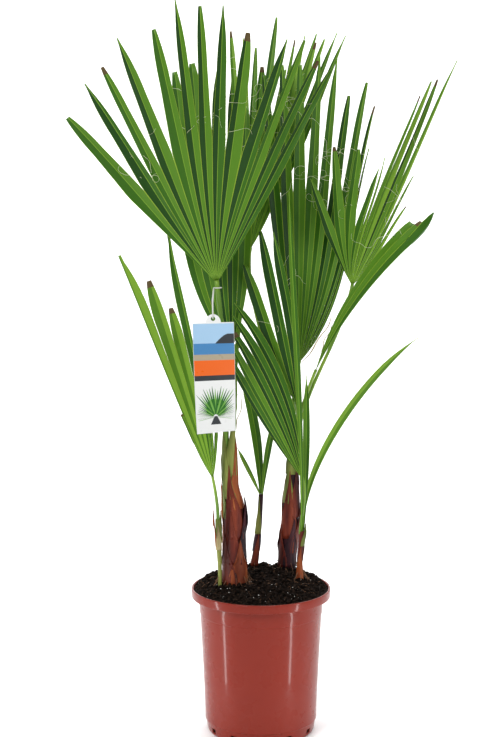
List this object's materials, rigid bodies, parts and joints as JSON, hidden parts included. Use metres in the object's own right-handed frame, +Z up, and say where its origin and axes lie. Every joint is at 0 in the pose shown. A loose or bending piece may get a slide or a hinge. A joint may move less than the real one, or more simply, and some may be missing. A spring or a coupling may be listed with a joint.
{
  "type": "potted mexican fan palm",
  "caption": "Young fan palms and seedlings in one round nursery pot, with stiff fan blades split into narrow leaflets, sheathed stems, potting soil and a hanging plant tag.",
  "frame": {"origin": "Centre of the pot's flat underside.", "axes": "+Z is up. The side seen from the front faces -Y, and +X is to the right as seen from the front. Metres."},
  "size_m": [0.5734, 0.5282, 1.0906],
  "materials": {
    "pot_plastic": "gloss",
    "potting_soil": "matte",
    "sheath": "satin",
    "seedling_sheath": "satin",
    "petiole": "satin",
    "frond": "satin",
    "seedling_leaf": "satin",
    "tag_card": "gloss",
    "tag_elastic": "matte"
  },
  "bodies": {
    "root": {"blade_left_back": "frond", "blade_left_front": "frond", "blade_left_high": "frond", "blade_left_inner": "frond", "blade_right_back": "frond", "blade_right_folded": "frond", "blade_right_high": "frond", "blade_right_inner": "frond", "blade_right_main": "frond", "blade_right_outer": "frond", "blade_seedling_left_fan": "seedling_leaf", "blade_seedling_middle_centre": "seedling_leaf", "blade_seedling_middle_left": "seedling_leaf", "blade_seedling_middle_right": "seedling_leaf", "blade_seedling_right_arching": "seedling_leaf", "blade_seedling_right_broad": "seedling_leaf", "blade_seedling_right_tall": "seedling_leaf", "blade_seedling_right_upright": "seedling_leaf", "care_tag": "tag_card", "petiole_left_back": "petiole", "petiole_left_front": "petiole", "petiole_left_high": "petiole", "petiole_left_inner": "petiole", "petiole_right_back": "petiole", "petiole_right_folded": "petiole", "petiole_right_high": "petiole", "petiole_right_inner": "petiole", "petiole_right_main": "petiole", "petiole_right_outer": "petiole", "petiole_seedling_left_fan": "petiole", "petiole_seedling_right_broad": "petiole", "pot": "pot_plastic", "soil": "potting_soil", "stem_left": "sheath", "stem_left_seedling": "seedling_sheath", "stem_middle_seedling": "seedling_sheath", "stem_right": "sheath", "stem_right_seedling": "seedling_sheath", "tag_loop": "tag_elastic"}
  },
  "joints": []
}
